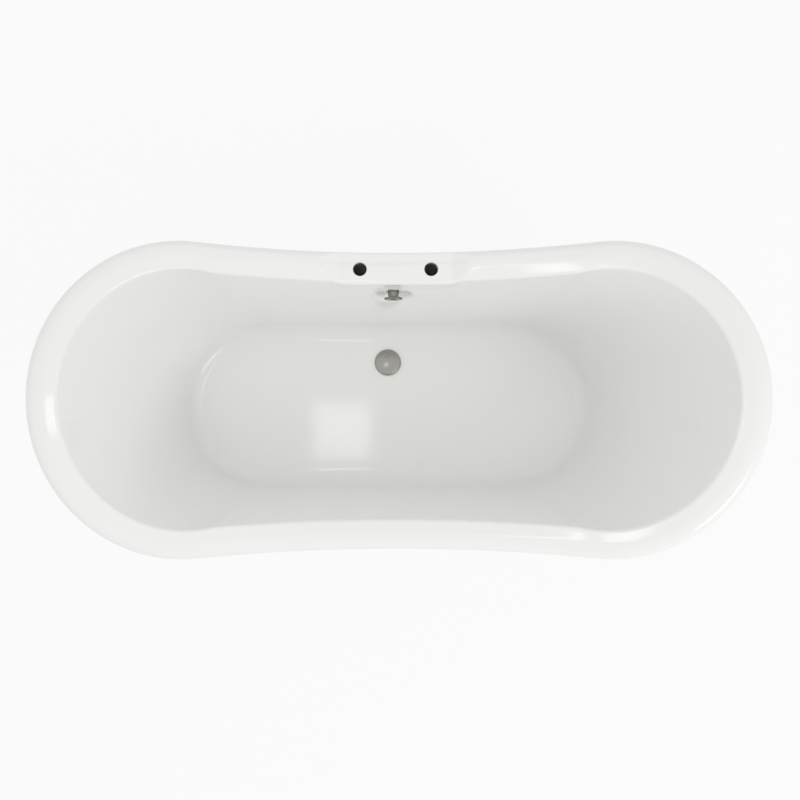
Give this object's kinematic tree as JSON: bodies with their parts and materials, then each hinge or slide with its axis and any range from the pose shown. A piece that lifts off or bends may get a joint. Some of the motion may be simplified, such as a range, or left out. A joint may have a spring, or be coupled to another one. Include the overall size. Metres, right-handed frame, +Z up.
{
  "type": "freestanding bath",
  "caption": "Freestanding double-ended bath on an oval pedestal, with raised ends, a rolled rim, a tap ledge with tap holes, a turning overflow control and a domed pop-up waste.",
  "frame": {"origin": "on the floor, at the centre of the bath's footprint", "axes": "+X along the bath, +Y towards the side with the tap ledge, +Z up"},
  "size_m": [1.762, 0.7866, 0.7596],
  "materials": {
    "acrylic": "gloss",
    "pedestal_acrylic": "gloss",
    "bead": "matt",
    "board": "raw",
    "zinc_steel": "zinc plated",
    "feet_plastic": "matt",
    "chrome": "satin polish",
    "seal": "matt",
    "waste_plastic": "matt",
    "hose_plastic": "matt",
    "brass": "machined"
  },
  "bodies": {
    "bath": {"bath_tub": "acrylic", "outer_hull": "acrylic", "rim_bead": "bead", "pedestal": "pedestal_acrylic", "tap_ledge_board": "board", "base_board": "board", "cradle_rail_left": "zinc_steel", "cradle_rail_right": "zinc_steel", "rail_screws": "zinc_steel", "pedestal_brackets": "zinc_steel", "bracket_screws": "zinc_steel", "lock_nuts": "zinc_steel", "waste_flange": "chrome", "waste_lower_seal": "seal", "waste_body": "waste_plastic", "lever_pin": "brass", "overflow_gasket": "seal", "overflow_rose": "chrome", "overflow_collar": "chrome", "overflow_rear_seal": "seal", "overflow_body": "waste_plastic", "overflow_hose": "hose_plastic", "hose_nut_upper": "waste_plastic", "hose_nut_lower": "waste_plastic", "control_cable": "seal", "cable_ferrules": "brass"},
    "turning_control": {"overflow_knob": "chrome", "knob_cap": "chrome", "control_spindle": "brass", "cable_cam": "waste_plastic"},
    "pop_up_plug": {"plug_cap": "chrome", "plug_seal": "seal", "plug_stem": "brass"},
    "plug_lever": {"lift_lever": "brass"},
    "foot_front_left": {"foot_stud_front_left": "zinc_steel", "foot_pad_front_left": "feet_plastic"},
    "foot_front_right": {"foot_stud_front_right": "zinc_steel", "foot_pad_front_right": "feet_plastic"},
    "foot_back_left": {"foot_stud_back_left": "zinc_steel", "foot_pad_back_left": "feet_plastic"},
    "foot_back_right": {"foot_stud_back_right": "zinc_steel", "foot_pad_back_right": "feet_plastic"}
  },
  "joints": [
    {"name": "control_turn", "type": "hinge", "parent": "bath", "child": "turning_control", "pos_m": [0, 0.2954, 0.466], "axis": [0, -1, 0], "range_deg": [0, 90]},
    {"name": "plug_lift", "type": "slide", "parent": "bath", "child": "pop_up_plug", "axis": [0, 0, 1], "range_m": [0, 0.0101]},
    {"name": "lever_swing", "type": "hinge", "parent": "bath", "child": "plug_lever", "pos_m": [0, 0.146, 0.1], "axis": [-1, 0, 0], "range_deg": [0, 28]},
    {"name": "foot_front_left_adjust", "type": "slide", "parent": "bath", "child": "foot_front_left", "axis": [0, 0, -1], "range_m": [0, 0.015]},
    {"name": "foot_front_right_adjust", "type": "slide", "parent": "bath", "child": "foot_front_right", "axis": [0, 0, -1], "range_m": [0, 0.015]},
    {"name": "foot_back_left_adjust", "type": "slide", "parent": "bath", "child": "foot_back_left", "axis": [0, 0, -1], "range_m": [0, 0.015]},
    {"name": "foot_back_right_adjust", "type": "slide", "parent": "bath", "child": "foot_back_right", "axis": [0, 0, -1], "range_m": [0, 0.015]}
  ],
  "couplings": [
    {"joint": "plug_lift", "follows": "control_turn", "m_per_rad": 0.0063662},
    {"joint": "lever_swing", "follows": "control_turn", "ratio": 0.30558}
  ]
}
